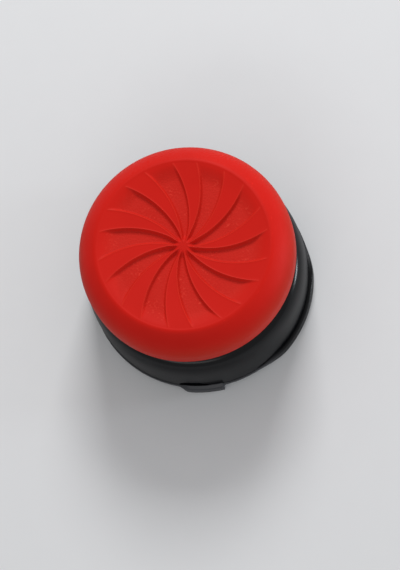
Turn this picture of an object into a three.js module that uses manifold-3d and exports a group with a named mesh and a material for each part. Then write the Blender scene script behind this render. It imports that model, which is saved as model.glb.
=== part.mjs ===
// A clip-on thumb grip for a game controller: a soft cap with a swirl tread, moulded onto a hard snap-on hub.
// Millimetres, +Z up. The origin lies on the axis, in the plane of the feet of the snap tabs and lips.
// Azimuths are counted from +X, counter-clockwise seen from above.

import * as THREE from 'three';
import { mergeVertices } from 'three/addons/utils/BufferGeometryUtils.js';
import Module from 'manifold-3d';

const wasm = await Module();
wasm.setup();

// Stick head that the hub snaps over
const stickRadius = 9.4;
const stickHeadHeight = 3.65;
const stickClearance = 0.2;

// Hub: skirt, shoulder and waist
const skirtWallTop = 1.85;
const skirtFlare = 0.2;
const crownThickness = 2.9;
const shoulderHeight = 2.9;
const waistRadius = 7.2;
const waistFillet = 0.9;
const waistHeight = 1.9;
const waistWall = 2.0;
const coreRoof = 1.6;
const seatLandHeight = 0.25;
const seatLandMargin = 0.4;
const rimChamfer = 0.2;

// Hub: platform that the cap is moulded round
const platformOverhang = 2.2;
const platformThickness = 1.3;
const mouldGap = 0.05;

// Hub: snap tabs with windows and lips with grooves, along the foot of the skirt
const tabCount = 2;
const firstTabAzimuth = -116.2;
const tabSpan = 23.5;
const tabToLipSpan = 18.5;
const lipToTabSpan = 58;
const footDrop = 0.7;
const ledgeRise = 0.8;
const tabProud = 0.45;
const tabChamfer = 0.25;
const tabSlope = 0.5;
const lipProud = 0.35;
const lipRound = 0.2;
const lipRoot = 0.3;
const grooveHeight = 0.35;
const grooveDepth = 0.35;
const hookReach = 0.6;
const hookNose = 0.6;
const hookLeadIn = 0.5;
const windowWidth = 3.2;
const windowHeight = 1.3;
const windowShift = -3.5;

// Cap: body
const capSideWall = 1.8;
const capFlankWidth = 2.13;
const capFlankSlope = 28;
const capFlankFullness = 0.616;
const capSideHeight = 1.25;
const capUnderRound = 0.7;
const capLip = 0.9;
const capCrown = 2.9;

// Cap: dished tread with its swirl of raised and sunk blades
const bladeCount = 10;
const bladeTwist = 27;
const bladeRidgeAzimuth = -8.9;
const recessDepth = 0.4;
const recessWall = 0.22;
const recessWallShare = 0.6;
const recessEndWall = 0.8;
const dishDepth = 0.4;
const crestHeight = 0.06;
const crestWidth = 0.24;
const eyeRadius = 0.45;
const fadeRadius = 1.3;

// Facets
const hubFacets = 72;
const faceFacets = 3;
const curveFacets = 6;
const treadRings = 8;

// Radii and levels that follow from the sizes above
const socketRadius = stickRadius + stickClearance;
const skirtTopRadius = socketRadius + skirtWallTop;
const rimRadius = skirtTopRadius + skirtFlare;
const hookRadius = socketRadius - hookReach;
const seatRadius = hookRadius - seatLandMargin;
const coreRadius = waistRadius - waistWall;
const shoulderInnerRadius = waistRadius + waistFillet;
const platformRadius = waistRadius + platformOverhang;
const pocketRadius = platformRadius + mouldGap;
const capRadius = pocketRadius + capSideWall;
const ridgeRadius = capRadius - capFlankWidth;

const rimLevel = footDrop;
const ledgeLevel = rimLevel + ledgeRise;
const seatLevel = ledgeLevel + stickHeadHeight;
const ceilingLevel = seatLevel + seatLandHeight;
const shoulderTopLevel = ceilingLevel + crownThickness;
const capUnderLevel = shoulderTopLevel + waistHeight;
const platformLevel = capUnderLevel + capLip;
const platformTopLevel = platformLevel + platformThickness;
const ridgeLevel = platformTopLevel + capCrown;
const coreTopLevel = platformTopLevel - coreRoof;

const radians = THREE.MathUtils.degToRad;
const fullTurn = 2 * Math.PI;

// A profile point: distance from the axis, and height.
function at(radius, level) {
  return new THREE.Vector2(radius, level);
}

// Turns a geometry made round +Y, as lathes are, so that its axis is +Z.
function standUp(geometry) {
  return geometry.rotateX(Math.PI / 2);
}

// Closed mesh to solid, for joining and cutting.
function toSolid(geometry) {
  const bare = geometry.clone();
  bare.deleteAttribute('normal');
  bare.deleteAttribute('uv');
  const merged = mergeVertices(bare);
  const vertProperties = new Float32Array(merged.attributes.position.array);
  const triVerts = new Uint32Array(merged.index.array);
  return new wasm.Manifold(new wasm.Mesh({ numProp: 3, vertProperties, triVerts }));
}

// Solid back to a mesh.
function toGeometry(solid) {
  const mesh = solid.getMesh();
  const geometry = new THREE.BufferGeometry();
  geometry.setAttribute('position', new THREE.BufferAttribute(mesh.vertProperties, 3));
  geometry.setIndex(new THREE.BufferAttribute(mesh.triVerts, 1));
  geometry.computeVertexNormals();
  return geometry;
}

// Solid of revolution from a profile that runs counter-clockwise from axis to axis.
function turned(profile) {
  return toSolid(standUp(new THREE.LatheGeometry(profile, hubFacets)));
}

// Ring of revolution from a section given counter-clockwise, closed on its first point.
function turnedRing(section) {
  return turned([...section, section[0].clone()]);
}

// Upright wedge about the axis between two azimuths in degrees, taller and wider than the hub.
function wedge(fromAzimuth, toAzimuth) {
  const reach = 2 * rimRadius;
  const shape = new THREE.Shape();
  shape.moveTo(0, 0);
  for (let step = 0; step <= curveFacets; step += 1) {
    const azimuth = radians(fromAzimuth + ((toAzimuth - fromAzimuth) * step) / curveFacets);
    shape.lineTo(reach * Math.cos(azimuth), reach * Math.sin(azimuth));
  }
  shape.closePath();
  const geometry = new THREE.ExtrudeGeometry(shape, { depth: 2 * ridgeLevel, bevelEnabled: false });
  return toSolid(geometry.translate(0, 0, -ridgeLevel));
}

// Points on a quarter of an ellipse about (centreRadius, centreLevel), from one angle to another in degrees.
function ellipseArc(centreRadius, centreLevel, halfWidth, halfHeight, fromAngle, toAngle) {
  const points = [];
  for (let step = 0; step <= curveFacets; step += 1) {
    const angle = radians(fromAngle + ((toAngle - fromAngle) * step) / curveFacets);
    const radius = centreRadius + halfWidth * Math.cos(angle);
    points.push(at(radius, centreLevel + halfHeight * Math.sin(angle)));
  }
  return points;
}

// Hub body: platform, waist, round shoulder and flared skirt outside; stick socket and cored waist inside.
function hubBody() {
  const shoulderLevel = shoulderTopLevel - shoulderHeight;
  const shoulderWidth = skirtTopRadius - shoulderInnerRadius;
  const filletLevel = shoulderTopLevel + waistFillet;
  return turned([
    at(0, coreTopLevel),
    at(coreRadius, coreTopLevel),
    at(coreRadius, seatLevel),
    at(seatRadius, seatLevel),
    at(seatRadius, ceilingLevel),
    at(socketRadius, ceilingLevel),
    at(socketRadius, rimLevel),
    at(rimRadius - rimChamfer, rimLevel),
    at(rimRadius, rimLevel + rimChamfer),
    ...ellipseArc(shoulderInnerRadius, shoulderLevel, shoulderWidth, shoulderHeight, 0, 90),
    ...ellipseArc(shoulderInnerRadius, filletLevel, waistFillet, waistFillet, -90, -180).slice(1),
    at(waistRadius, platformLevel),
    at(platformRadius, platformLevel),
    at(platformRadius, platformTopLevel),
    at(0, platformTopLevel),
  ]);
}

// Section of the lip that runs along the foot of the skirt, from the feet's plane up to the ledge.
function lipSection() {
  const outer = rimRadius + lipProud;
  return [
    at(rimRadius - lipRoot, 0),
    ...ellipseArc(outer - lipRound, lipRound, lipRound, lipRound, -90, 0),
    ...ellipseArc(outer - lipRound, ledgeLevel - lipRound, lipRound, lipRound, 0, 90),
    at(rimRadius - lipRoot, ledgeLevel),
  ];
}

// Section of a snap tab: proud outside under a slope, and a hook inside with a lead-in slope under its nose.
function tabSection() {
  const outer = rimRadius + tabProud;
  return [
    at(hookRadius + hookLeadIn, 0),
    at(outer - tabChamfer, 0),
    at(outer, tabChamfer),
    at(outer, ledgeLevel - tabSlope),
    at(rimRadius, ledgeLevel),
    at(hookRadius, ledgeLevel),
    at(hookRadius, ledgeLevel - hookNose),
  ];
}

// Section of the groove above the lips.
function grooveSection() {
  const inner = rimRadius - grooveDepth;
  const outer = rimRadius + lipProud + grooveDepth;
  const top = ledgeLevel + grooveHeight;
  return [at(inner, ledgeLevel), at(outer, ledgeLevel), at(outer, top), at(inner, top)];
}

// Arched window through the skirt above the tab at an azimuth. It lets a mould core form the hook's upper face.
function tabWindow(azimuth) {
  const arch = new THREE.Shape();
  arch.moveTo(windowWidth / 2, 0);
  arch.absellipse(0, 0, windowWidth / 2, windowHeight, 0, Math.PI, false, 0);
  arch.closePath();
  const inside = hookRadius;
  const depth = rimRadius + tabProud - inside + grooveDepth;
  const geometry = new THREE.ExtrudeGeometry(arch, { depth, bevelEnabled: false, curveSegments: curveFacets });
  geometry.rotateX(Math.PI / 2).translate(0, -inside, ledgeLevel);
  return toSolid(geometry.rotateZ(radians(azimuth + 90)));
}

// The whole hub: the body with its snap tabs, lips, grooves and windows repeated round it.
function hubGeometry() {
  const tab = turnedRing(tabSection());
  const lip = turnedRing(lipSection());
  const groove = turnedRing(grooveSection());
  const tabPitch = 360 / tabCount;
  const lipSpan = tabPitch - tabSpan - tabToLipSpan - lipToTabSpan;
  let hub = hubBody();
  for (let index = 0; index < tabCount; index += 1) {
    const azimuth = firstTabAzimuth + index * tabPitch;
    const tabWedge = wedge(azimuth - tabSpan / 2, azimuth + tabSpan / 2);
    const lipStart = azimuth + tabSpan / 2 + tabToLipSpan;
    const lipWedge = wedge(lipStart, lipStart + lipSpan);
    hub = hub.add(tab.intersect(tabWedge)).add(lip.intersect(lipWedge));
    hub = hub.subtract(groove.intersect(lipWedge)).subtract(tabWindow(azimuth + windowShift));
  }
  return toGeometry(hub);
}

// Share of the full recess depth at a radius: none on the centre eye, full from fadeRadius outwards.
function recessShare(radius) {
  return THREE.MathUtils.smoothstep(radius, eyeRadius, fadeRadius);
}

// Angle that a recess wall takes up at a radius, less than half a pitch near the centre.
function wallAngle(radius) {
  const halfPitch = fullTurn / bladeCount / 2;
  return Math.min(recessWall / radius, halfPitch * recessWallShare);
}

// Stations round one pitch: the raised face first, then the sunk floor, each with its two edges.
const stationsPerPitch = 2 * (faceFacets + 1);

// Azimuth of a station in radians, on the blades' slanting line at the given radius.
function stationAzimuth(station, radius) {
  const pitch = fullTurn / bladeCount;
  const blade = Math.floor(station / stationsPerPitch);
  const place = station % stationsPerPitch;
  const sunk = place > faceFacets;
  const faceAngle = pitch / 2 - wallAngle(radius);
  const across = (sunk ? place - faceFacets - 1 : place) / faceFacets - 0.5;
  const middle = blade * pitch + (sunk ? pitch / 2 : 0);
  const twist = radians(bladeTwist) * (1 - radius / ridgeRadius);
  return radians(bladeRidgeAzimuth) - twist + middle + across * faceAngle;
}

// Cap profile under the tread: pocket for the platform, lip under it, underside, side and sloping flank.
function capBodyProfile() {
  const lipRadius = waistRadius + mouldGap;
  const roundLevel = capUnderLevel + capUnderRound;
  const sideTop = roundLevel + capSideHeight;
  const cornerLevel = ridgeLevel - capFlankWidth * Math.tan(radians(capFlankSlope));
  const flank = new THREE.CubicBezierCurve(
    at(capRadius, sideTop),
    at(capRadius, THREE.MathUtils.lerp(sideTop, cornerLevel, capFlankFullness)),
    at(
      THREE.MathUtils.lerp(ridgeRadius, capRadius, capFlankFullness),
      THREE.MathUtils.lerp(ridgeLevel, cornerLevel, capFlankFullness),
    ),
    at(ridgeRadius, ridgeLevel),
  );
  return [
    at(0, platformTopLevel),
    at(pocketRadius, platformTopLevel),
    at(pocketRadius, platformLevel),
    at(lipRadius, platformLevel),
    at(lipRadius, capUnderLevel),
    ...ellipseArc(capRadius - capUnderRound, roundLevel, capUnderRound, capUnderRound, -90, 0),
    ...flank.getPoints(curveFacets),
  ];
}

// Rings of the tread from the crest inwards: radius, level of the raised faces, and share of the recess depth.
function treadRingList() {
  const crestFoot = ridgeRadius - crestWidth;
  const floorEnd = crestFoot - recessEndWall;
  const rings = [{ radius: crestFoot, share: 0 }];
  for (let ring = 0; ring <= treadRings; ring += 1) {
    const radius = THREE.MathUtils.lerp(floorEnd, eyeRadius, ring / treadRings);
    rings.push({ radius, share: recessShare(radius) });
  }
  rings.push({ radius: 0, share: 0 });
  return rings.map(({ radius, share }) => {
    const dish = dishDepth * (1 - (radius / crestFoot) ** 2);
    return { radius, share, level: ridgeLevel - crestHeight - dish };
  });
}

// The whole cap: a lathe whose facets follow the blades, with the sunk floors let down into the tread.
function capGeometry() {
  const body = capBodyProfile();
  const tread = treadRingList();
  const profile = [...body, ...tread.map(({ radius, level }) => at(radius, level))];
  const stations = bladeCount * stationsPerPitch;
  const geometry = standUp(new THREE.LatheGeometry(profile, stations));
  const position = geometry.attributes.position;
  for (let station = 0; station <= stations; station += 1) {
    const sunk = station % stationsPerPitch > faceFacets;
    profile.forEach((point, ring) => {
      const treadRing = tread[ring - body.length];
      const azimuth = stationAzimuth(station, treadRing ? Math.max(point.x, eyeRadius) : ridgeRadius);
      const drop = treadRing && sunk ? recessDepth * treadRing.share : 0;
      const vertex = station * profile.length + ring;
      position.setXYZ(vertex, point.x * Math.cos(azimuth), point.x * Math.sin(azimuth), point.y - drop);
    });
  }
  geometry.computeVertexNormals();
  return geometry;
}

// Soft matte elastomer of the cap.
function capMaterial() {
  return new THREE.MeshStandardMaterial({ color: '#cd2c22', roughness: 0.62, metalness: 0 });
}

// Hard glossy plastic of the hub.
function hubMaterial() {
  return new THREE.MeshStandardMaterial({ color: '#0e0e11', roughness: 0.22, metalness: 0 });
}

// Named mesh from a geometry and its material.
function piece(name, geometry, material) {
  const mesh = new THREE.Mesh(geometry, material);
  mesh.name = name;
  return mesh;
}

const group = new THREE.Group();
group.add(piece('grip_cap', capGeometry(), capMaterial()));
group.add(piece('clip_hub', hubGeometry(), hubMaterial()));

export default group;
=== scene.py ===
"""Dresses a clip-on thumb grip: a matte elastomer cap with a swirl tread on a glossy black snap-on hub.

Lengths are metres and angles are degrees unless a name says otherwise. +Z is the grip's axis, towards the
thumb, and -Y is the side that the camera sees nearest. Azimuths are counted from +X, counter-clockwise seen
from above.
"""

from __future__ import annotations

import logging
import math
from collections.abc import Mapping, Sequence
from dataclasses import dataclass, field
from enum import Enum
from typing import Any, Union

import bpy
import numpy as np
from mathutils import Matrix, Vector


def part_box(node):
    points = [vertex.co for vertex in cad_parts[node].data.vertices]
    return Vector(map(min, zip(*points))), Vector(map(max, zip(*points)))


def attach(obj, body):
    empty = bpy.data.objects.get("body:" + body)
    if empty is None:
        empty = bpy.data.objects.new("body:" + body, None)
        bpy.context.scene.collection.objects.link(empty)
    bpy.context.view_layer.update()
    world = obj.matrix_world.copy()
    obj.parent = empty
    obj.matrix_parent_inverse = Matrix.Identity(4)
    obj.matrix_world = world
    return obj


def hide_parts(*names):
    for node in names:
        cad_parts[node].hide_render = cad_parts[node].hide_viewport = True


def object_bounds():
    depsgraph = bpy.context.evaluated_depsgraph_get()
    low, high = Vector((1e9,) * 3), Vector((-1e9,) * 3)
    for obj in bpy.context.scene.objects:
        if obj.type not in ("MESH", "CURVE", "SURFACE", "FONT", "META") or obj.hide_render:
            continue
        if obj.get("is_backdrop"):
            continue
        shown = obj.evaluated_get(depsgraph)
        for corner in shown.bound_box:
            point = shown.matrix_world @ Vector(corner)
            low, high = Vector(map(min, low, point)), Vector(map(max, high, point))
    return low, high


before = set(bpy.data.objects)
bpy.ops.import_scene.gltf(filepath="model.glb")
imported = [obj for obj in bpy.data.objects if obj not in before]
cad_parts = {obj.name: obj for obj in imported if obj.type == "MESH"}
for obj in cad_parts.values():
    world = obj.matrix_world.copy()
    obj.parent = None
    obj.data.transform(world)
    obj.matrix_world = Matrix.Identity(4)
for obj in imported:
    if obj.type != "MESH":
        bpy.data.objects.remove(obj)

MM = 0.001
BODY = "root"
FULL_TURN = 2 * math.pi
NOISE_MIDDLE = 0.5
WHITE = (1.0, 1.0, 1.0)
COOL_WHITE = (0.86, 0.93, 1.0)

# A Mix node's sockets go by index, because its names repeat for every type of data.
MIX_START, MIX_END, MIX_RESULT = 6, 7, 2

LOG = logging.getLogger("thumb_grip")

Colour = tuple[float, float, float]
Span = tuple[float, float]
Array = np.ndarray


def smooth_step(value: Array | float, low: float, high: float) -> Array:
    """A cubic ramp from 0 at low to 1 at high, level at both ends.

    Args:
        value: Where to read the ramp.
        low: Where the ramp starts.
        high: Where the ramp ends.

    Returns:
        The ramp's height, 3t^2 - 2t^3 for t the clipped share of the way.
    """
    share = np.clip((np.asarray(value, float) - low) / (high - low), 0, 1)
    return share * share * (3 - 2 * share)


def linear_colour(red: int, green: int, blue: int) -> Colour:
    """Turns a colour as it looks on a screen, 0 to 255, into linear light.

    The curve is the usual one of screens: straight near black, then a power of 2.4.

    Args:
        red: Red as shown.
        green: Green as shown.
        blue: Blue as shown.

    Returns:
        The three linear values, 0 to 1.
    """
    shown = (channel / 255 for channel in (red, green, blue))
    return tuple(c / 12.92 if c <= 0.04045 else ((c + 0.055) / 1.055) ** 2.4 for c in shown)


class Field:
    """A number, colour or vector in a material. Operators on it add Math nodes."""

    def __init__(self, graph: Graph, socket: bpy.types.NodeSocket) -> None:
        """Wraps an output socket.

        Args:
            graph: The material's graph that the socket belongs to.
            socket: The output socket.
        """
        self.graph = graph
        self.socket = socket

    def _math(self, operation: str, first: Operand, second: Operand) -> Field:
        """Adds one Math node on two operands."""
        return self.graph.node("ShaderNodeMath", {"operation": operation}, {0: first, 1: second})

    def __add__(self, other: Operand) -> Field:
        """Sum."""
        return self._math("ADD", self, other)

    def __radd__(self, other: Operand) -> Field:
        """Sum, number first."""
        return self._math("ADD", other, self)

    def __sub__(self, other: Operand) -> Field:
        """Difference."""
        return self._math("SUBTRACT", self, other)

    def __rsub__(self, other: Operand) -> Field:
        """Difference, number first."""
        return self._math("SUBTRACT", other, self)

    def __mul__(self, other: Operand) -> Field:
        """Product."""
        return self._math("MULTIPLY", self, other)

    def __rmul__(self, other: Operand) -> Field:
        """Product, number first."""
        return self._math("MULTIPLY", other, self)

    def ramp(self, low: float, high: float) -> Field:
        """Makes a mask of this value.

        Args:
            low: The value where the mask is 0.
            high: The value where the mask is 1.

        Returns:
            The mask, level at both ends.
        """
        settings = {"interpolation_type": "SMOOTHSTEP", "clamp": True}
        inputs = {"Value": self, "From Min": low, "From Max": high}
        return self.graph.node("ShaderNodeMapRange", settings, inputs)


Operand = Union[Field, float]


class Graph:
    """The node tree of one material."""

    def __init__(self, name: str) -> None:
        """Starts an empty node material.

        Args:
            name: The material's name.
        """
        self.material = bpy.data.materials.new(name)
        self.material.use_nodes = True
        self.tree = self.material.node_tree
        self.tree.nodes.clear()

    def node(
        self,
        kind: str,
        settings: Mapping[str, Any] | None = None,
        inputs: Mapping[int | str, Any] | None = None,
        output: int | str = 0,
    ) -> Field:
        """Adds a node.

        Args:
            kind: The node's type.
            settings: The node's own properties, set before its sockets.
            inputs: Values or fields for its input sockets, by name or index.
            output: The output that is wanted.

        Returns:
            That output as a field.
        """
        made = self.tree.nodes.new(kind)
        for name, value in (settings or {}).items():
            setattr(made, name, value)
        for name, value in (inputs or {}).items():
            if isinstance(value, Field):
                self.tree.links.new(value.socket, made.inputs[name])
            else:
                made.inputs[name].default_value = value
        return Field(self, made.outputs[output])

    def place(self) -> Field:
        """The surface point in the object's own frame."""
        return self.node("ShaderNodeTexCoord", output="Object")

    def attribute(self, name: str) -> Field:
        """A number stored on the mesh."""
        return self.node("ShaderNodeAttribute", {"attribute_name": name}, output="Fac")

    def noise(self, grain: float, detail: float = 3.0, roughness: float = 0.5) -> Field:
        """Smooth noise on object coordinates.

        Args:
            grain: Size of the largest lumps.
            detail: How many finer layers are added.
            roughness: How strong each finer layer is.

        Returns:
            The noise, about 0.5 on average.
        """
        inputs = {"Vector": self.place(), "Scale": 1 / grain, "Detail": detail, "Roughness": roughness}
        return self.node("ShaderNodeTexNoise", {"noise_dimensions": "3D"}, inputs)

    def cells(self, grain: float) -> Field:
        """Distance to the nearest of many scattered points on object coordinates, a grain apart."""
        settings = {"voronoi_dimensions": "3D", "feature": "F1"}
        return self.node("ShaderNodeTexVoronoi", settings, {"Vector": self.place(), "Scale": 1 / grain})

    def blend(self, share: Field, start: Colour | Field, end: Colour | Field) -> Field:
        """Mixes two colours.

        Args:
            share: 0 gives start and 1 gives end.
            start: First colour.
            end: Second colour.

        Returns:
            The mixed colour.
        """
        sides = [c if isinstance(c, Field) else (*c, 1.0) for c in (start, end)]
        inputs = {"Factor": share, MIX_START: sides[0], MIX_END: sides[1]}
        return self.node("ShaderNodeMix", {"data_type": "RGBA"}, inputs, output=MIX_RESULT)

    def bump(self, height: Field, depth: float, under: Field | None = None) -> Field:
        """Turns a height from 0 to 1 into a bumped normal.

        Args:
            height: The height field.
            depth: The relief that a height of 1 stands for.
            under: A bumped normal that this relief lies on.

        Returns:
            The normal.
        """
        inputs: dict[int | str, Any] = {"Strength": 1.0, "Distance": depth, "Height": height}
        if under is not None:
            inputs["Normal"] = under
        return self.node("ShaderNodeBump", inputs=inputs)

    def surface(self, inputs: Mapping[int | str, Any]) -> bpy.types.Material:
        """Ends the graph in one principled surface.

        Args:
            inputs: Values or fields of the surface's sockets.

        Returns:
            The finished material.
        """
        shader = self.node("ShaderNodeBsdfPrincipled", inputs=inputs)
        end = self.tree.nodes.new("ShaderNodeOutputMaterial")
        self.tree.links.new(shader.socket, end.inputs["Surface"])
        return self.material


@dataclass(frozen=True)
class CapElastomer:
    """Matte moulded elastomer: smooth on raised blades and side, finely stippled on the sunk floors, with
    painted shade on the side and painted highlights along the blades' edges and the crest.
    """

    raised: Colour = linear_colour(208, 27, 17)
    sunk: Colour = linear_colour(206, 39, 29)
    # Painted highlight: a lighter red along the blades' edges and the crest, where their rounding catches
    # light.
    edge: Colour = linear_colour(232, 72, 54)
    painted_edge_highlight_share: float = 0.2
    # Painted shade: the side's darker red stands in for the shade on the flank.
    side: Colour = linear_colour(190, 36, 18)
    speck: Colour = linear_colour(222, 60, 46)
    speck_range: Span = (0.62, 0.95)
    patch_grain: float = 2.0 * MM
    patch_range: Span = (0.4, 0.7)
    cloud_grain: float = 4.0 * MM
    cloud_range: Span = (0.35, 0.8)
    cloud_share: float = 0.35
    cloud_shade: float = 0.86
    roughness: float = 0.55
    sunk_roughening: float = 0.1
    cloud_roughening: float = 0.12
    specular: float = 0.1
    stipple_grain: float = 0.2 * MM
    stipple_depth: float = 0.022 * MM
    skin_grain: float = 0.09 * MM
    skin_depth: float = 0.0025 * MM

    def material(self) -> bpy.types.Material:
        """Builds the material from the mesh's own sunk, flank and edge numbers and fine noise. The flank
        number places painted shade and the edge number places painted highlights.

        Returns:
            The material.
        """
        graph = Graph("cap_elastomer")
        sunk = graph.attribute("sunk")
        flank = graph.attribute("flank")
        cloud = graph.noise(self.cloud_grain, detail=2.0)
        # Painted shade: the flank number darkens the side towards this darker red.
        base = graph.blend(flank, self.raised, self.side)
        base = graph.blend(sunk, base, self.sunk)
        shade = tuple(self.cloud_shade * channel for channel in self.raised)
        base = graph.blend(cloud.ramp(*self.cloud_range) * self.cloud_share, base, shade)
        grains = graph.cells(self.stipple_grain)
        patches = graph.noise(self.patch_grain, detail=1.0).ramp(*self.patch_range)
        base = graph.blend(grains.ramp(*self.speck_range) * sunk * patches, base, self.speck)
        # Painted highlight: the edge number paints the blades' edges and the crest lighter.
        base = graph.blend(graph.attribute("edge") * self.painted_edge_highlight_share, base, self.edge)
        skin = graph.noise(self.skin_grain, detail=4.0)
        normal = graph.bump(skin, self.skin_depth)
        normal = graph.bump(grains * sunk, self.stipple_depth, under=normal)
        uneven = (cloud - NOISE_MIDDLE) * self.cloud_roughening
        return graph.surface(
            {
                "Base Color": base,
                "Roughness": self.roughness + sunk * self.sunk_roughening + uneven,
                "Normal": normal,
                "Specular IOR Level": self.specular,
            }
        )


@dataclass(frozen=True)
class HubPlastic:
    """Glossy black moulded plastic: a dull body under a thin uneven gloss, with a painted highlight, light
    grey, on the tabs and the rim's bead.
    """

    colour: Colour = linear_colour(7, 8, 11)
    haze: Colour = linear_colour(17, 18, 22)
    haze_share: float = 0.5
    # Painted highlight: light grey on the tabs and the rim's bead, standing in for their reflection of the
    # lamps.
    painted_rim_highlight: Colour = linear_colour(72, 73, 77)
    painted_rim_highlight_share: float = 0.8
    roughness: float = 0.4
    gloss: float = 0.34
    gloss_change: float = 0.06
    gloss_roughness: float = 0.22
    gloss_index: float = 1.65
    ripple_grain: float = 2.2 * MM
    scuff_grain: float = 0.5 * MM
    scuff_range: Span = (0.55, 0.8)

    def material(self) -> bpy.types.Material:
        """Builds the material from ripple and scuff noise and the mesh's own edge number, which places the
        painted highlight.

        Returns:
            The material.
        """
        graph = Graph("hub_plastic")
        ripple = graph.noise(self.ripple_grain, detail=1.0)
        worn = graph.noise(self.scuff_grain, detail=5.0, roughness=0.65).ramp(*self.scuff_range)
        base = graph.blend(worn * self.haze_share, self.colour, self.haze)
        # Painted highlight: the edge number paints the tabs and the rim's bead light grey.
        base = graph.blend(graph.attribute("edge") * self.painted_rim_highlight_share, base, self.painted_rim_highlight)
        uneven = (ripple - NOISE_MIDDLE) * self.gloss_change
        return graph.surface(
            {
                "Base Color": base,
                "Roughness": self.roughness,
                "Specular IOR Level": 0.0,
                "Coat Weight": self.gloss - worn * self.gloss_change + uneven,
                "Coat Roughness": self.gloss_roughness,
                "Coat IOR": self.gloss_index,
            }
        )


def ring_object(
    name: str, rows: Array, start: Array, end: Array, numbers: Mapping[str, Array]
) -> bpy.types.Object:
    """Makes a closed mesh from rings of points round the axis, with a point at each end of the profile.

    Each quad joins neighbouring columns of neighbouring rows, and a fan of triangles joins the first and the
    last row to its end point. Rows run so that the faces point outwards.

    Args:
        name: The object's name.
        rows: Points, as rows x columns x 3.
        start: The point on the axis before the first row.
        end: The point on the axis after the last row.
        numbers: Attributes to store, each rows x columns. The end points get their row's mean.

    Returns:
        The object, at the origin.
    """
    count, columns, _ = rows.shape
    points = np.concatenate([rows.reshape(-1, 3), [start, end]])
    here = np.arange(columns)
    following = np.roll(here, -1)
    first = (np.arange(count - 1) * columns)[:, None]
    above = first + columns
    quads = np.stack([first + here, first + following, above + following, above + here], axis=-1)
    start_index = count * columns
    last = (count - 1) * columns
    start_fan = np.stack([np.full(columns, start_index), following, here], axis=-1)
    end_fan = np.stack([last + here, last + following, np.full(columns, start_index + 1)], axis=-1)
    mesh = bpy.data.meshes.new(name)
    faces = quads.reshape(-1, 4).tolist() + start_fan.tolist() + end_fan.tolist()
    mesh.from_pydata(points.tolist(), [], faces)
    for label, values in numbers.items():
        store = mesh.attributes.new(label, "FLOAT", "POINT")
        whole = np.concatenate([values.reshape(-1), [values[0].mean(), values[-1].mean()]])
        store.data.foreach_set("value", whole.astype(np.float32))
    mesh.shade_smooth()
    made = bpy.data.objects.new(name, mesh)
    bpy.context.scene.collection.objects.link(made)
    return made


def polar_rows(radius: Array, level: Array, azimuth: Array) -> Array:
    """Turns distance from the axis, height and azimuth in radians, each rows x columns, into points."""
    return np.stack([radius * np.cos(azimuth), radius * np.sin(azimuth), level], axis=-1)


def arc(centre: Span, half: Span, start: float, stop: float, steps: int) -> Array:
    """Points along an ellipse: centre + (half width cos angle, half height sin angle).

    Args:
        centre: Distance from the axis and height of the ellipse's centre.
        half: Half width and half height.
        start: First angle.
        stop: Last angle.
        steps: How many spans.

    Returns:
        Points, as (steps + 1) x 2.
    """
    angle = np.radians(np.linspace(start, stop, steps + 1))
    return np.stack([centre[0] + half[0] * np.cos(angle), centre[1] + half[1] * np.sin(angle)], axis=-1)


def line(start: Span, stop: Span, steps: int) -> Array:
    """Points along a straight line, both ends included."""
    return np.linspace(start, stop, steps + 1)


def quadratic(start: Array, handle: Array, stop: Array, way: Array) -> Array:
    """Points on a quadratic curve from start to stop, pulled towards the handle.

    Args:
        start: Where the curve starts.
        handle: The corner that the curve rounds.
        stop: Where the curve ends.
        way: Shares of the way, 0 to 1, shaped to go with the points.

    Returns:
        (1 - t)^2 start + 2 (1 - t) t handle + t^2 stop, for t the way.
    """
    return (1 - way) ** 2 * start + 2 * (1 - way) * way * handle + way**2 * stop


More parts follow.
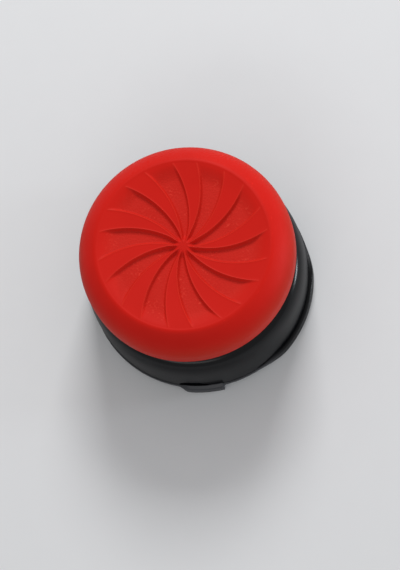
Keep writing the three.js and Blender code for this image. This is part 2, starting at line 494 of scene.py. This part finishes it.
@dataclass
class GripCap:
    """The soft cap: a rounded disc with a dished tread that ten raised and ten sunk blades swirl across.

    The two clearances say how many times the crest's round the flank and the tread's first ring stay away
    from the ridge. A centre is the radius of the ring next to the axis.
    """

    radius: float = 11.25 * MM
    flank_width: float = 2.13 * MM
    flank_slope: float = 28.0
    flank_fullness: float = 0.616
    side_height: float = 1.25 * MM
    under_round: float = 0.7 * MM
    lip_radius: float = 7.25 * MM
    lip_land: float = 0.1 * MM
    lip_thickness: float = 0.9 * MM
    pocket_radius: float = 9.45 * MM
    pocket_height: float = 1.3 * MM
    pocket_centre: float = 2.0 * MM
    crest_height: float = 0.06 * MM
    crest_width: float = 0.24 * MM
    crest_round: float = 0.2 * MM
    crest_clearance: float = 1.2
    slope_clearance: float = 1.1
    dish_depth: float = 0.4 * MM
    recess_depth: float = 0.4 * MM
    recess_wall: float = 0.3 * MM
    recess_wall_share: float = 0.6
    recess_wall_power: float = 1.6
    recess_end_wall: float = 1.9 * MM
    bead_height: float = 0.022 * MM
    bead_width: float = 0.12 * MM
    eye_radius: float = 0.45 * MM
    eye_centre: float = 0.12 * MM
    fade_radius: float = 1.3 * MM
    # Painted shade on the flank: full from the first depth below the top downwards, starting at the second.
    painted_shade_full_drop: float = 2.6 * MM
    painted_shade_start_drop: float = 0.6 * MM
    blades: int = 10
    blade_twist: float = 27.0
    blade_ridge_azimuth: float = -8.9
    flank_steps: int = 40
    crest_steps: int = 8
    round_steps: int = 12
    under_steps: int = 6
    side_steps: int = 3
    pocket_steps: int = 2
    face_steps: int = 8
    bead_steps: int = 4
    wall_steps: int = 10
    slope_rings: int = 4
    end_wall_rings: int = 16
    tread_rings: int = 84
    eye_rings: int = 6
    bottom: float = field(init=False)
    top: float = field(init=False)

    def __post_init__(self) -> None:
        """Takes the cap's lowest and highest level from the frame."""
        low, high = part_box("grip_cap")
        self.bottom = low.z
        self.top = high.z

    @property
    def ridge_radius(self) -> float:
        """Radius of the edge between tread and flank."""
        return self.radius - self.flank_width

    @property
    def tread_radius(self) -> float:
        """Radius of the dished tread, inside the crest."""
        return self.ridge_radius - self.crest_width

    def side_profile(self) -> Array:
        """Profile from the upright side, over the flank, to the crest's inner slope.

        The flank is a cubic curve that leaves the side upright and meets the ridge at the flank's slope. The
        ridge itself is rounded by a quadratic curve whose middle handle is the sharp corner.

        Returns:
            Points, as n x 2.
        """
        fall = self.flank_width * math.tan(math.radians(self.flank_slope))
        corner = np.array([self.radius, self.top - fall])
        foot = np.array([self.radius, self.bottom + self.under_round + self.side_height])
        ridge = np.array([self.ridge_radius, self.top])
        low_handle = foot + (corner - foot) * self.flank_fullness
        high_handle = ridge + (corner - ridge) * self.flank_fullness
        way = np.linspace(0, 1, self.flank_steps + 1)[:, None]
        flank = (
            (1 - way) ** 3 * foot
            + 3 * (1 - way) ** 2 * way * low_handle
            + 3 * (1 - way) * way**2 * high_handle
            + way**3 * ridge
        )
        away = np.linalg.norm(flank - ridge, axis=1)
        flank = flank[away > self.crest_clearance * self.crest_round]
        inward = np.array([-self.crest_width, -self.crest_height])
        inner = ridge + inward * self.crest_round / self.crest_width
        way = np.linspace(0, 1, self.crest_steps + 1)[1:, None]
        return np.concatenate([flank, quadratic(flank[-1], ridge, inner, way)])

    def body_profile(self) -> Array:
        """Profile from the pocket's ceiling, round lip, underside and side, to the crest's inner slope.

        Returns:
            Points, as n x 2.
        """
        lip_top = self.bottom + self.lip_thickness
        pocket_top = lip_top + self.pocket_height
        round_level = self.bottom + self.under_round
        side_top = round_level + self.side_height
        round_radius = self.radius - self.under_round
        under_start = (self.lip_radius + self.lip_land, self.bottom)
        return np.concatenate(
            [
                line((self.pocket_centre, pocket_top), (self.pocket_radius, pocket_top), self.pocket_steps),
                [(self.pocket_radius, lip_top), (self.lip_radius, lip_top), (self.lip_radius, self.bottom)],
                line(under_start, (round_radius, self.bottom), self.under_steps)[:-1],
                arc((round_radius, round_level), (self.under_round,) * 2, -90, 0, self.round_steps),
                line((self.radius, round_level), (self.radius, side_top), self.side_steps)[1:-1],
                self.side_profile(),
            ]
        )

    def tread_radii(self) -> Array:
        """Places the tread's rings from the crest's inner slope to the eye, close at the end walls.

        Returns:
            The rings' radii, falling.
        """
        floor_end = self.tread_radius - self.recess_end_wall
        slope_start = self.ridge_radius - self.slope_clearance * self.crest_round
        slope = np.linspace(slope_start, self.tread_radius, self.slope_rings)
        wall = np.linspace(self.tread_radius, floor_end, self.end_wall_rings + 1)[1:]
        floor = np.linspace(floor_end, self.eye_radius, self.tread_rings)[1:]
        eye = np.linspace(self.eye_radius, self.eye_centre, self.eye_rings + 1)[1:]
        return np.concatenate([slope, wall, floor, eye])

    def wall_angle(self, radius: Array) -> Array:
        """Angle in radians that a recess wall takes up at a radius, less than half a pitch near the eye."""
        return np.minimum(self.recess_wall / radius, math.pi / self.blades * self.recess_wall_share)

    def stations(self, radius: Array) -> tuple[Array, Array, Array]:
        """Places the columns so that they follow the blades' edges.

        Within a pitch the columns run over the raised face and the bead on its edge, down a wall, over the
        sunk floor, up a wall and over a bead. A wall's depth is 1 - (1 - t)^p for t the way down, steep at
        the bead and filleted at the floor. Every blade turns clockwise towards the eye by the twist times
        the share of the ridge radius that is left.

        Args:
            radius: The rows' radii.

        Returns:
            Azimuth in radians, depth share and bead share, all rows x columns.
        """
        pitch = FULL_TURN / self.blades
        wall = self.wall_angle(radius)[:, None]
        bead = wall * self.bead_width / self.recess_wall
        raised = pitch / 2 - wall - 2 * bead
        sunk = pitch / 2 - wall
        face_way = np.linspace(-0.5, 0.5, self.face_steps + 1)[None, :]
        bead_way = np.linspace(0, 1, self.bead_steps + 1)[None, 1:]
        wall_way = np.linspace(0, 1, self.wall_steps + 1)[None, 1:-1]
        beyond = raised / 2 + bead
        parts = [
            raised * face_way,
            raised / 2 + bead * bead_way,
            beyond + wall * wall_way,
            pitch / 2 + sunk * face_way,
            pitch - beyond - wall * wall_way[:, ::-1],
            pitch - raised / 2 - bead * bead_way[:, ::-1],
        ]
        flat_face, flat_bead = np.zeros_like(face_way), np.zeros_like(bead_way)
        drop = 1 - (1 - wall_way) ** self.recess_wall_power
        hump = smooth_step(bead_way, 0, 1)
        depth = np.concatenate([flat_face, flat_bead, drop, flat_face + 1, drop[:, ::-1], flat_bead], axis=1)
        crown = (1 - wall_way) ** (2 * self.recess_wall_power)
        edge = np.concatenate([flat_face, hump, crown, flat_face, crown[:, ::-1], hump[:, ::-1]], axis=1)
        twist = math.radians(self.blade_twist) * (1 - radius / self.ridge_radius)
        middle = math.radians(self.blade_ridge_azimuth) - twist
        offsets = np.concatenate(parts, axis=1) + middle[:, None]
        azimuth = np.concatenate([offsets + blade * pitch for blade in range(self.blades)], axis=1)
        shape = (len(radius), self.blades)
        return azimuth, np.tile(depth, shape), np.tile(edge, shape)

    def crest_light(self, radius: Array) -> Array:
        """Share of the painted highlight, the lighter edge colour, on the crest, most where its round ends
        and none at its two feet.

        Args:
            radius: The rows' radii.

        Returns:
            The share at each row, 0 to 1.
        """
        inside = self.ridge_radius - radius
        rise = smooth_step(inside, 0, self.crest_round)
        return rise * (1 - smooth_step(inside, self.crest_round, self.crest_width))

    def build(self) -> bpy.types.Object:
        """Builds the cap. The tread's level is a dish, less the recess where sunk, plus the blades' beads.

        Returns:
            The cap, dressed.
        """
        body = self.body_profile()
        tread = self.tread_radii()
        dish = self.dish_depth * (1 - np.minimum(tread / self.tread_radius, 1) ** 2)
        slope = self.crest_height * np.clip((self.ridge_radius - tread) / self.crest_width, 0, 1)
        fade = smooth_step(tread, self.eye_radius, self.fade_radius)
        share = fade * smooth_step(self.tread_radius - tread, 0, self.recess_end_wall)
        bead_share = fade * smooth_step(self.tread_radius - tread, 0, self.bead_width)
        off_tread = np.zeros(len(body))
        radius = np.concatenate([body[:, 0], tread])
        level = np.concatenate([body[:, 1], self.top - slope - dish])
        share = np.concatenate([off_tread, share])
        bead_share = np.concatenate([off_tread, bead_share])
        guide = np.concatenate([off_tread + self.ridge_radius, tread])
        azimuth, depth, bead = self.stations(guide)
        sunk = depth * share[:, None]
        edge = bead * bead_share[:, None]
        relief = self.bead_height * edge - self.recess_depth * sunk
        rows = polar_rows(radius[:, None] + 0 * azimuth, level[:, None] + relief, azimuth)
        # Painted shade: the flank number is 1 low on the side and 0 near the top, and paints the side
        # darker.
        flank = 1 - smooth_step(level, self.top - self.painted_shade_full_drop, self.top - self.painted_shade_start_drop)
        start = np.array([0, 0, body[0, 1]])
        end = np.array([0, 0, rows[-1, :, 2].mean()])
        # The painted highlight's mask: the beads' share and the crest's, stored as the edge number.
        light = np.maximum(edge, self.crest_light(guide)[:, None])
        numbers = {"sunk": sunk, "edge": light, "flank": flank[:, None] + 0 * azimuth}
        cap = ring_object("cap", rows, start, end, numbers)
        cap.data.materials.append(CapElastomer().material())
        return cap


class FootForm(Enum):
    """The forms that the skirt's foot takes round the hub."""

    PLAIN = "plain"
    LIP = "lip"
    TAB = "tab"


@dataclass
class ClipHub:
    """The hard hub: platform, waist, round shoulder and skirt with lips, snap tabs and arched windows.

    A centre is the radius of the ring next to the axis. Spans, tapers and shifts of the foot are degrees.
    """

    socket_radius: float = 9.6 * MM
    rim_radius: float = 11.65 * MM
    waist_radius: float = 7.2 * MM
    waist_fillet: float = 0.9 * MM
    shoulder_top: float = 8.3 * MM
    bell_power: float = 6.0
    bell_foot: float = 0.875 * MM
    platform_radius: float = 9.4 * MM
    platform_thickness: float = 1.3 * MM
    platform_centre: float = 4.0 * MM
    core_radius: float = 5.2 * MM
    core_roof: float = 1.6 * MM
    core_centre: float = 2.0 * MM
    core_round: float = 0.3 * MM
    core_wall_drop: float = 1.0 * MM
    seat_radius: float = 8.6 * MM
    seat_level: float = 5.15 * MM
    seat_land: float = 0.25 * MM
    ceiling_chamfer: float = 0.2 * MM
    socket_wall_drop: float = 0.6 * MM
    socket_wall_foot: float = 0.5 * MM
    rim_level: float = 0.7 * MM
    rim_bead: float = 0.09 * MM
    rim_bead_slope: float = 0.6
    rim_bead_round: float = 0.04 * MM
    rim_round: float = 0.12 * MM
    bore_round: float = 0.08 * MM
    bore_step: float = 0.3 * MM
    ledge_level: float = 1.5 * MM
    ledge_clear_above: float = 0.17 * MM
    ledge_clear_below: float = 0.3 * MM
    groove_height: float = 0.35 * MM
    groove_depth: float = 0.35 * MM
    skirt_lead: float = 0.7 * MM
    lip_proud: float = 0.35 * MM
    lip_root: float = 0.3 * MM
    lip_round: float = 0.2 * MM
    tab_proud: float = 0.45 * MM
    tab_round: float = 0.25 * MM
    tab_crown: float = 0.15 * MM
    tab_slope: float = 0.25 * MM
    tab_taper: float = 5.0
    hook_reach: float = 0.6 * MM
    hook_nose: float = 0.6 * MM
    hook_lead_in: float = 0.5 * MM
    hook_foot_round: float = 0.12 * MM
    hook_nose_round: float = 0.15 * MM
    hook_top_round: float = 0.08 * MM
    window_width: float = 3.2 * MM
    window_height: float = 1.3 * MM
    window_shift: float = -3.5
    window_overlap: float = 0.01 * MM
    window_inset: float = 1.2 * MM
    window_outset: float = 1.5 * MM
    edge_round: float = 0.05 * MM
    # Where the painted highlight lies: just outside the rim, fading out above the ledge.
    painted_highlight_inside: float = 0.03 * MM
    painted_highlight_outside: float = 0.05 * MM
    painted_highlight_fade: float = 0.1 * MM
    tabs: int = 2
    first_tab: float = -116.2
    tab_span: float = 23.5
    tab_to_lip_span: float = 18.5
    lip_to_tab_span: float = 58.0
    edge_span: float = 0.7
    lip_rise: float = 20.0
    lip_fall: float = 20.0
    crease_angle: float = 38.0
    bell_steps: int = 40
    fillet_steps: int = 12
    round_steps: int = 5
    wall_steps: int = 6
    seat_steps: int = 5
    corner_steps: int = 4
    window_steps: int = 24
    edge_columns: int = 8
    edge_columns_reach: float = 1.1
    azimuth_decimals: int = 6
    top: float = field(init=False)
    bottom: float = field(init=False)

    def __post_init__(self) -> None:
        """Takes the hub's lowest and highest level from the frame."""
        low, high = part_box("clip_hub")
        self.bottom = low.z
        self.top = high.z

    @property
    def bell_inner(self) -> float:
        """Radius where the bell's shoulder meets the waist's fillet."""
        return self.waist_radius + self.waist_fillet

    @property
    def bell_height(self) -> float:
        """Height of the bell from rim to shoulder."""
        return self.shoulder_top - self.rim_level

    def bell_radius(self, rise: Array | float) -> Array | float:
        """Radius of the bell, on the curve x^p + y^p = 1 from rim to shoulder.

        Args:
            rise: Share of the way up from rim to shoulder, 0 to 1.

        Returns:
            Distance from the axis.
        """
        out = (1 - rise**self.bell_power) ** (1 / self.bell_power)
        return self.bell_inner + (self.rim_radius - self.bell_inner) * out

    def on_skirt(self, level: float) -> Span:
        """The skirt's point at a level, upright below the rim."""
        return self.bell_radius(max(level - self.rim_level, 0) / self.bell_height), level

    def plain_corners(self) -> list[tuple[float, float, float]]:
        """Corners of the foot where it has neither lip nor tab: skirt, thin bead, rim and bore.

        Returns:
            Nine corners, each as distance from the axis, height and rounding.
        """
        groove_top = self.ledge_level + self.groove_height
        brow = self.ledge_level - self.ledge_clear_below
        bead = self.rim_radius + self.rim_bead
        bore = [(self.socket_radius, self.ledge_level - count * self.bore_step, 0.0) for count in (2, 1, 0)]
        return [
            (*self.on_skirt(groove_top), 0.0),
            (*self.on_skirt(self.ledge_level + self.ledge_clear_above), 0.0),
            (*self.on_skirt(brow), 0.0),
            (bead, brow - self.rim_bead_slope * self.rim_bead, self.rim_bead_round),
            (bead, self.rim_level, self.rim_round),
            (self.socket_radius, self.rim_level, self.bore_round),
            *bore,
        ]

    def lip_corners(self) -> list[tuple[float, float, float]]:
        """Corners of the foot at a lip: groove, ledge, foot, root and bore.

        Returns:
            Nine corners, each as distance from the axis, height and rounding.
        """
        small = self.edge_round
        groove = self.rim_radius - self.groove_depth
        groove_top = self.ledge_level + self.groove_height
        outer, root = self.rim_radius + self.lip_proud, self.rim_radius - self.lip_root
        return [
            (*self.on_skirt(groove_top), small),
            (groove, groove_top, small),
            (groove, self.ledge_level, small),
            (outer, self.ledge_level, self.lip_round),
            (outer, self.bottom, self.lip_round),
            (root, self.bottom, small),
            (root, self.rim_level, small),
            (self.socket_radius, self.rim_level, self.bore_round),
            (self.socket_radius, self.ledge_level, 0.0),
        ]

    def tab_corners(self) -> list[tuple[float, float, float]]:
        """Corners of the foot at a tab: skirt, sloped ledge, foot, and the hook with lead-in and nose.

        Returns:
            Nine corners, each as distance from the axis, height and rounding.
        """
        groove_top = self.ledge_level + self.groove_height
        outer = self.rim_radius + self.tab_proud
        hook = self.socket_radius - self.hook_reach
        return [
            (*self.on_skirt(groove_top), 0.0),
            (*self.on_skirt(self.ledge_level + self.ledge_clear_above), 0.0),
            (*self.on_skirt(self.ledge_level), self.edge_round),
            (outer, self.ledge_level - self.tab_slope, self.tab_crown),
            (outer, self.bottom, self.tab_round),
            (hook + self.hook_lead_in, self.bottom, self.hook_foot_round),
            (hook, self.ledge_level - self.hook_nose, self.hook_nose_round),
            (hook, self.ledge_level, self.hook_top_round),
            (self.socket_radius, self.ledge_level, self.edge_round),
        ]

    def foot_profile(self, form: FootForm) -> Array:
        """Rounds each corner of the foot with a quadratic curve whose middle handle is the corner.

        Args:
            form: Which form of foot.

        Returns:
            Points from the skirt to the socket wall, as n x 2, as many for every form.
        """
        makers = {
            FootForm.PLAIN: self.plain_corners,
            FootForm.LIP: self.lip_corners,
            FootForm.TAB: self.tab_corners,
        }
        corners = np.array(makers[form]())
        above = self.on_skirt(self.ledge_level + self.skirt_lead)
        beyond = (self.socket_radius, self.ledge_level + self.socket_wall_foot)
        places = np.concatenate([[above], corners[:, :2], [beyond]])
        corner, reach = places[1:-1], corners[:, 2:]
        toward = places[:-2] - corner
        onward = places[2:] - corner
        enter = corner + toward / np.linalg.norm(toward, axis=1)[:, None] * reach
        leave = corner + onward / np.linalg.norm(onward, axis=1)[:, None] * reach
        way = np.linspace(0, 1, self.corner_steps + 1)[None, :, None]
        return quadratic(enter[:, None], corner[:, None], leave[:, None], way).reshape(-1, 2)

    def outer_profile(self) -> Array:
        """Profile from just above the foot, up skirt, shoulder and waist, round the platform.

        Returns:
            Points, as n x 2.
        """
        fillet = self.shoulder_top + self.waist_fillet
        platform = self.top - self.platform_thickness
        foot = (self.ledge_level + self.bell_foot - self.rim_level) / self.bell_height
        rise = np.sin(np.linspace(math.asin(foot), math.pi / 2, self.bell_steps + 1))
        bell = np.stack([self.bell_radius(rise), self.rim_level + self.bell_height * rise], axis=-1)
        return np.concatenate(
            [
                bell,
                arc((self.bell_inner, fillet), (self.waist_fillet,) * 2, -90, -180, self.fillet_steps)[1:],
                [(self.waist_radius, platform), (self.platform_radius, platform)],
                [(self.platform_radius, self.top), (self.platform_centre, self.top)],
            ]
        )

    def inner_profile(self) -> Array:
        """Profile under the core's roof, down the cored waist, over the seat and down the socket.

        Returns:
            Points, as n x 2.
        """
        roof = self.top - self.core_roof
        ceiling = self.seat_level + self.seat_land
        seat, edge, chamfer = self.seat_level, self.edge_round, self.ceiling_chamfer
        round_radius, round_level = self.core_radius - self.core_round, roof - self.core_round
        core_wall = (self.core_radius, roof - self.core_wall_drop)
        wall_foot = (self.socket_radius, self.ledge_level + self.socket_wall_foot)
        return np.concatenate(
            [
                [(self.core_centre, roof), (round_radius, roof)],
                arc((round_radius, round_level), (self.core_round,) * 2, 90, 0, self.round_steps)[1:],
                line(core_wall, (self.core_radius, seat + edge), self.wall_steps),
                line((self.core_radius + edge, seat), (self.seat_radius - edge, seat), self.seat_steps),
                [(self.seat_radius, seat + edge), (self.seat_radius, ceiling)],
                [(self.socket_radius - chamfer, ceiling), (self.socket_radius, ceiling - chamfer)],
                line((self.socket_radius, ceiling - self.socket_wall_drop), wall_foot, self.wall_steps),
            ]
        )

    def columns(self) -> tuple[Array, dict[FootForm, Array]]:
        """Places the columns and says which form the foot has at each.

        Columns are a degree apart, with more across each end of a tab. A tab's share runs from 0 to 1 over
        its taper and falls over the span of an edge, and a lip's rises and falls slowly.

        Returns:
            Azimuths in degrees, and the share of each form.
        """
        pitch = 360 / self.tabs
        middle = self.first_tab + pitch * np.arange(self.tabs)
        tab_start, tab_end = middle - self.tab_span / 2, middle + self.tab_span / 2
        lip_start = tab_end + self.tab_to_lip_span
        lip_end = tab_start + pitch - self.lip_to_tab_span
        half = self.edge_span / 2
        spread = self.edge_columns_reach * half
        changes = np.concatenate([tab_start, tab_end])
        fine = (changes[:, None] + np.linspace(-spread, spread, self.edge_columns)[None, :]).reshape(-1)
        every = np.concatenate([np.arange(360.0), fine % 360])
        azimuth = np.unique(np.round(every, self.azimuth_decimals))

        def share(begin: Array, end: Array, rise: Span, fall: Span) -> Array:
            """Ramps up past the start of each span and down before its end.

            Args:
                begin: Where each span starts.
                end: Where each span ends.
                rise: How far inside the start the ramp leaves 0 and reaches 1.
                fall: How far inside the end the ramp reaches 0 and leaves 1.

            Returns:
                The share at each column, 0 outside all spans.
            """
            from_middle = (azimuth[None, :] - ((begin + end) / 2)[:, None] + 180) % 360 - 180
            reach = ((end - begin) / 2)[:, None]
            up = smooth_step(reach + from_middle, *rise)
            down = smooth_step(reach - from_middle, *fall)
            return (up * down).max(axis=0)

        tab = share(tab_start, tab_end, (-half, self.tab_taper), (-half, half))
        lip = share(lip_start, lip_end, (0, self.lip_rise), (0, self.lip_fall))
        return azimuth, {FootForm.TAB: tab, FootForm.LIP: lip, FootForm.PLAIN: 1 - tab - lip}

    def windows(self) -> bpy.types.Object:
        """Builds the arched cutters, half ellipses carried outwards along each tab's azimuth.

        Returns:
            All cutters, as one object.
        """
        way = np.linspace(0, math.pi, self.window_steps + 1)
        across = self.window_width / 2 * np.cos(way)
        height = self.ledge_level - self.window_overlap + self.window_height * np.sin(way)
        reach = np.array([self.socket_radius - self.window_inset, self.rim_radius + self.window_outset])
        azimuth = np.radians(self.first_tab + self.window_shift + np.arange(self.tabs) * 360 / self.tabs)
        out = np.stack([np.cos(azimuth), np.sin(azimuth), 0 * azimuth], axis=-1)[:, None, None, :]
        side = np.stack([-np.sin(azimuth), np.cos(azimuth), 0 * azimuth], axis=-1)[:, None, None, :]
        up = np.array([0, 0, 1])
        points = out * reach[:, None, None] + side * across[:, None] + up * height[:, None]
        here = np.arange(len(way))
        following = np.roll(here, -1)
        count = len(way)
        walls = np.stack([here, following, count + following, count + here], axis=-1)
        faces = []
        for base in range(0, self.tabs * 2 * count, 2 * count):
            faces += (base + walls).tolist()
            faces += [(base + here[::-1]).tolist(), (base + count + here).tolist()]
        mesh = bpy.data.meshes.new("window_cutters")
        mesh.from_pydata(points.reshape(-1, 3).tolist(), [], faces)
        cutter = bpy.data.objects.new("window_cutters", mesh)
        bpy.context.scene.collection.objects.link(cutter)
        return cutter

    def cut_windows(self, hub: bpy.types.Object) -> None:
        """Cuts the arched windows out of the hub's mesh and shades its creases sharp.

        Args:
            hub: The hub without windows.
        """
        cutter = self.windows()
        cut = hub.modifiers.new("windows", "BOOLEAN")
        cut.operation = "DIFFERENCE"
        cut.solver = "EXACT"
        cut.object = cutter
        bpy.context.view_layer.update()
        cut_hub = hub.evaluated_get(bpy.context.evaluated_depsgraph_get())
        shape = bpy.data.meshes.new_from_object(cut_hub)
        hub.modifiers.clear()
        hub.data = shape
        bpy.data.objects.remove(cutter)
        shape.shade_smooth()
        shape.set_sharp_from_angle(angle=math.radians(self.crease_angle))

    def build(self) -> bpy.types.Object:
        """Builds the hub: a profile round the axis, whose foot is the mix of the forms by their shares.

        Returns:
            The hub, dressed.
        """
        azimuth, shares = self.columns()
        foot = sum(
            self.foot_profile(form)[::-1, None, :] * share[None, :, None] for form, share in shares.items()
        )
        inner = np.repeat(self.inner_profile()[:, None, :], len(azimuth), axis=1)
        outer = np.repeat(self.outer_profile()[:, None, :], len(azimuth), axis=1)
        profile = np.concatenate([inner, foot, outer])
        radius, level = profile[..., 0], profile[..., 1]
        rows = polar_rows(radius, level, np.radians(azimuth)[None, :] + 0 * radius)
        start = np.array([0, 0, self.top - self.core_roof])
        end = np.array([0, 0, self.top])
        # The painted highlight's mask: outside the rim and below the ledge, on the tabs and the rim's bead
        # but not on the lips.
        proud = smooth_step(radius, self.rim_radius - self.painted_highlight_inside, self.rim_radius + self.painted_highlight_outside)
        below = 1 - smooth_step(level, self.ledge_level, self.ledge_level + self.painted_highlight_fade)
        edge = proud * below * (1 - shares[FootForm.LIP])[None, :]
        hub = ring_object("hub", rows, start, end, {"edge": edge})
        hub.data.materials.append(HubPlastic().material())
        self.cut_windows(hub)
        return hub


@dataclass(frozen=True)
class SoftBox:
    """A rectangular studio lamp that faces the grip, its width level with the floor."""

    name: str
    azimuth: float
    elevation: float
    distance: float
    width: float
    height: float
    power: float
    colour: Colour = WHITE

    def build(self, target: Vector) -> None:
        """Adds the lamp. Azimuth 0 stands on the near side, and azimuth grows towards +X.

        Args:
            target: The point that the lamp faces.
        """
        turn, rise = math.radians(self.azimuth), math.radians(self.elevation)
        away = Vector((math.sin(turn) * math.cos(rise), -math.cos(turn) * math.cos(rise), math.sin(rise)))
        lamp = bpy.data.lights.new(self.name, "AREA")
        lamp.shape = "RECTANGLE"
        lamp.size = self.width
        lamp.size_y = self.height
        lamp.energy = self.power
        lamp.color = self.colour
        holder = bpy.data.objects.new(self.name, lamp)
        holder.location = target + away * self.distance
        holder.rotation_euler = away.to_track_quat("Z", "Y").to_euler()
        bpy.context.scene.collection.objects.link(holder)


@dataclass(frozen=True)
class PhotoCamera:
    """A camera at the photograph's viewing angle, for an image of 400 x 570 pixels."""

    elevation: float = 73.5
    roll: float = 27.5
    distance: float = 340 * MM
    pixels_per_metre: float = 9768.0
    image_size: tuple[int, int] = (400, 570)
    ridge_pixel: Span = (182.6, 244.7)
    sensor: float = 36 * MM
    near_clip: float = 0.01
    far_clip: float = 10.0

    def build(self, ridge_centre: Vector) -> None:
        """Adds the camera, aimed so that the ridge's centre falls on its pixel.

        Args:
            ridge_centre: The middle of the cap's top edge.
        """
        rise = math.radians(self.elevation)
        back = Vector((0, -math.cos(rise), math.sin(rise)))
        right = Vector((1, 0, 0))
        up = back.cross(right)
        turn = Matrix.Rotation(math.radians(-self.roll), 3, back)
        right, up = turn @ right, turn @ up
        offset_x = (self.ridge_pixel[0] - self.image_size[0] / 2) / self.pixels_per_metre
        offset_y = (self.ridge_pixel[1] - self.image_size[1] / 2) / self.pixels_per_metre
        place = ridge_centre + back * self.distance - right * offset_x + up * offset_y
        data = bpy.data.cameras.new("photo_camera")
        focal_pixels = self.pixels_per_metre * self.distance
        data.sensor_width = self.sensor / MM
        data.lens = focal_pixels * data.sensor_width / max(self.image_size)
        data.clip_start = self.near_clip
        data.clip_end = self.far_clip
        camera = bpy.data.objects.new("photo_camera", data)
        axes = Matrix((right, up, back)).transposed()
        camera.matrix_world = Matrix.Translation(place) @ axes.to_4x4()
        bpy.context.scene.collection.objects.link(camera)
        bpy.context.scene.camera = camera


@dataclass(frozen=True)
class FloorPaper:
    """Matte pale paper with a faint grain."""

    colour: Colour = linear_colour(226, 227, 229)
    grain: float = 3 * MM
    grain_share: float = 0.06
    roughness: float = 0.9
    specular: float = 0.1

    def material(self) -> bpy.types.Material:
        """Builds the material from one noise.

        Returns:
            The material.
        """
        graph = Graph("floor_paper")
        grain = graph.noise(self.grain, detail=2.0)
        base = graph.blend(grain * self.grain_share, self.colour, WHITE)
        inputs = {"Base Color": base, "Roughness": self.roughness, "Specular IOR Level": self.specular}
        return graph.surface(inputs)


@dataclass(frozen=True)
class Studio:
    """A plain pale floor, a pale sky and soft lamps."""

    floor_size: float = 1.2
    sky: float = 0.45
    lamps: Sequence[SoftBox] = (
        SoftBox(
            name="key_lamp",
            azimuth=148.0,
            elevation=42.0,
            distance=0.34,
            width=0.12,
            height=0.12,
            power=0.68,
        ),
        SoftBox(
            name="right_strip",
            azimuth=70.0,
            elevation=3.5,
            distance=0.26,
            width=0.05,
            height=0.045,
            power=0.21,
            colour=COOL_WHITE,
        ),
        SoftBox(
            name="near_fill",
            azimuth=-37.0,
            elevation=43.0,
            distance=0.30,
            width=0.15,
            height=0.06,
            power=0.07,
        ),
    )

    def build(self, ground: float, target: Vector) -> None:
        """Adds floor, sky and lamps.

        Args:
            ground: The level that the grip stands on.
            target: The point that the lamps face.
        """
        half = self.floor_size / 2
        mesh = bpy.data.meshes.new("floor")
        corners = [(x * half, y * half, ground) for x, y in ((-1, -1), (1, -1), (1, 1), (-1, 1))]
        mesh.from_pydata(corners, [], [(0, 1, 2, 3)])
        mesh.materials.append(FloorPaper().material())
        floor = bpy.data.objects.new("floor", mesh)
        bpy.context.scene.collection.objects.link(floor)
        floor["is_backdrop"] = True
        world = bpy.data.worlds.new("pale_sky")
        world.use_nodes = True
        background = world.node_tree.nodes["Background"]
        background.inputs["Strength"].default_value = self.sky
        background.inputs["Color"].default_value = (*WHITE, 1.0)
        bpy.context.scene.world = world
        for lamp in self.lamps:
            lamp.build(target)


def report(piece: bpy.types.Object) -> None:
    """Logs a piece's name and face count."""
    LOG.info("%s: %d faces", piece.name, len(piece.data.polygons))


def main() -> None:
    """Builds the pieces, sets them on the frame and lights them."""
    logging.basicConfig(level=logging.INFO, format="%(message)s")
    cad_low, cad_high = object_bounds()
    cap_sizes = GripCap()
    cap = cap_sizes.build()
    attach(cap, BODY)
    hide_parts("grip_cap")
    report(cap)
    hub = ClipHub().build()
    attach(hub, BODY)
    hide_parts("clip_hub")
    report(hub)
    Studio().build(cad_low.z, Vector((0, 0, cap_sizes.bottom)))
    PhotoCamera().build(Vector((0, 0, cap_sizes.top)))
    bpy.context.scene.view_settings.view_transform = "Standard"


if __name__ == "__main__":
    main()
